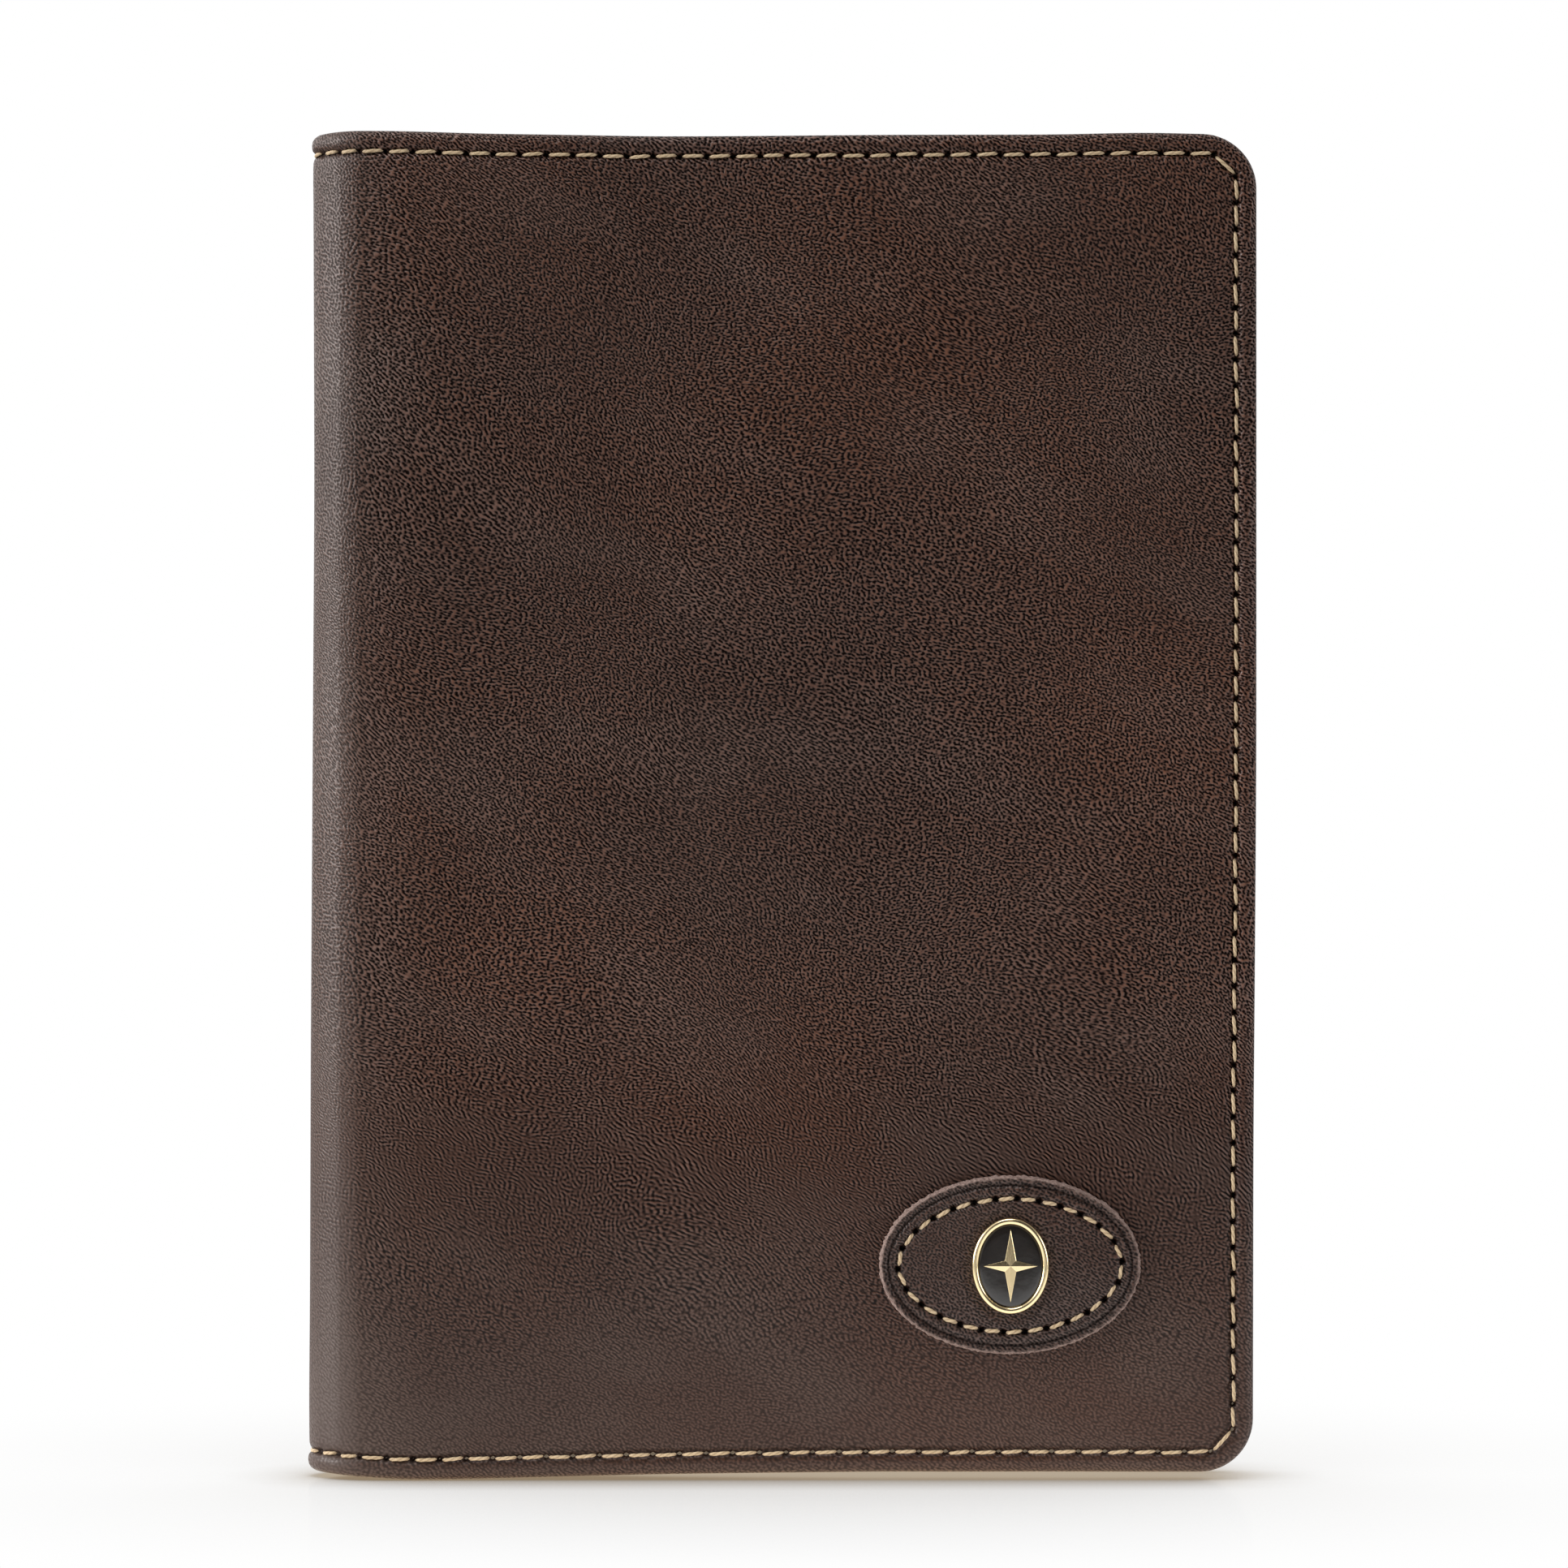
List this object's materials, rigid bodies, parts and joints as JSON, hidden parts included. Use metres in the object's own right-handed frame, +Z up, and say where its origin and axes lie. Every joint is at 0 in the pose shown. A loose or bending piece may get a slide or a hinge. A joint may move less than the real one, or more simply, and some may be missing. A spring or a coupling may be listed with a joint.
{
  "type": "passport holder",
  "caption": "Bifold leather passport holder with turned, topstitched edges, a bending spine, card pockets, a passport sleeve and an oval stitched badge with a gold medallion.",
  "frame": {"origin": "middle of the bottom of the bounding box of the closed holder, standing on its bottom edge", "axes": "+Z up along the height, +X from the spine to the fore edge, the front cover and its badge face -Y"},
  "size_m": [0.1, 0.0134, 0.142],
  "materials": {
    "outer_leather": "satin, pebbled grain with wrinkles, mottled",
    "badge_leather": "satin, grained",
    "inner_leather": "satin, fine grain",
    "lining_fabric": "matte, woven",
    "stiffener_board": "matte",
    "seam_thread": "waxed, twisted",
    "gold_metal": "polished",
    "black_enamel": "glossy"
  },
  "bodies": {
    "back_cover": {"back_outer_leather": "outer_leather", "back_stiffener_board": "stiffener_board", "back_lining": "lining_fabric", "back_seam_thread": "seam_thread", "back_inner_thread": "seam_thread", "passport_sleeve": "inner_leather", "passport_sleeve_thread": "seam_thread"},
    "spine_back": {"spine_back_leather": "outer_leather", "spine_back_lining": "lining_fabric", "spine_back_top_thread": "seam_thread", "spine_back_top_inner_thread": "seam_thread", "spine_back_bottom_thread": "seam_thread", "spine_back_bottom_inner_thread": "seam_thread"},
    "spine_middle": {"spine_middle_leather": "outer_leather", "spine_middle_lining": "lining_fabric", "spine_middle_top_thread": "seam_thread", "spine_middle_top_inner_thread": "seam_thread", "spine_middle_bottom_thread": "seam_thread", "spine_middle_bottom_inner_thread": "seam_thread"},
    "spine_front": {"spine_front_leather": "outer_leather", "spine_front_lining": "lining_fabric", "spine_front_top_thread": "seam_thread", "spine_front_top_inner_thread": "seam_thread", "spine_front_bottom_thread": "seam_thread", "spine_front_bottom_inner_thread": "seam_thread"},
    "front_cover": {"front_outer_leather": "outer_leather", "front_stiffener_board": "stiffener_board", "front_lining": "lining_fabric", "front_seam_thread": "seam_thread", "front_inner_thread": "seam_thread", "slip_pocket_panel": "inner_leather", "card_pocket_bottom": "inner_leather", "card_pocket_middle": "inner_leather", "card_pocket_top": "inner_leather", "card_pocket_bottom_thread": "seam_thread", "card_pocket_middle_thread": "seam_thread", "card_pocket_top_thread": "seam_thread", "card_pocket_side_thread": "seam_thread", "badge_patch": "badge_leather", "badge_thread": "seam_thread", "emblem_plate": "gold_metal", "emblem_enamel": "black_enamel", "emblem_clinch_plate": "gold_metal"}
  },
  "joints": [
    {"name": "back_hinge", "type": "hinge", "parent": "back_cover", "child": "spine_back", "pos_m": [-0.0466, 0.00628, 0.071], "axis": [0, 0, -1], "range_deg": [0, 45]},
    {"name": "back_spine_bend", "type": "hinge", "parent": "spine_back", "child": "spine_middle", "pos_m": [-0.04958, 0.0033, 0.071], "axis": [0, 0, -1], "range_deg": [0, 45]},
    {"name": "front_spine_bend", "type": "hinge", "parent": "spine_middle", "child": "spine_front", "pos_m": [-0.04958, -0.0009, 0.071], "axis": [0, 0, -1], "range_deg": [0, 45]},
    {"name": "front_hinge", "type": "hinge", "parent": "spine_front", "child": "front_cover", "pos_m": [-0.0466, -0.00388, 0.071], "axis": [0, 0, -1], "range_deg": [0, 45]}
  ],
  "couplings": [
    {"joint": "back_spine_bend", "follows": "back_hinge", "ratio": 1},
    {"joint": "front_spine_bend", "follows": "back_hinge", "ratio": 1},
    {"joint": "front_hinge", "follows": "back_hinge", "ratio": 1}
  ]
}
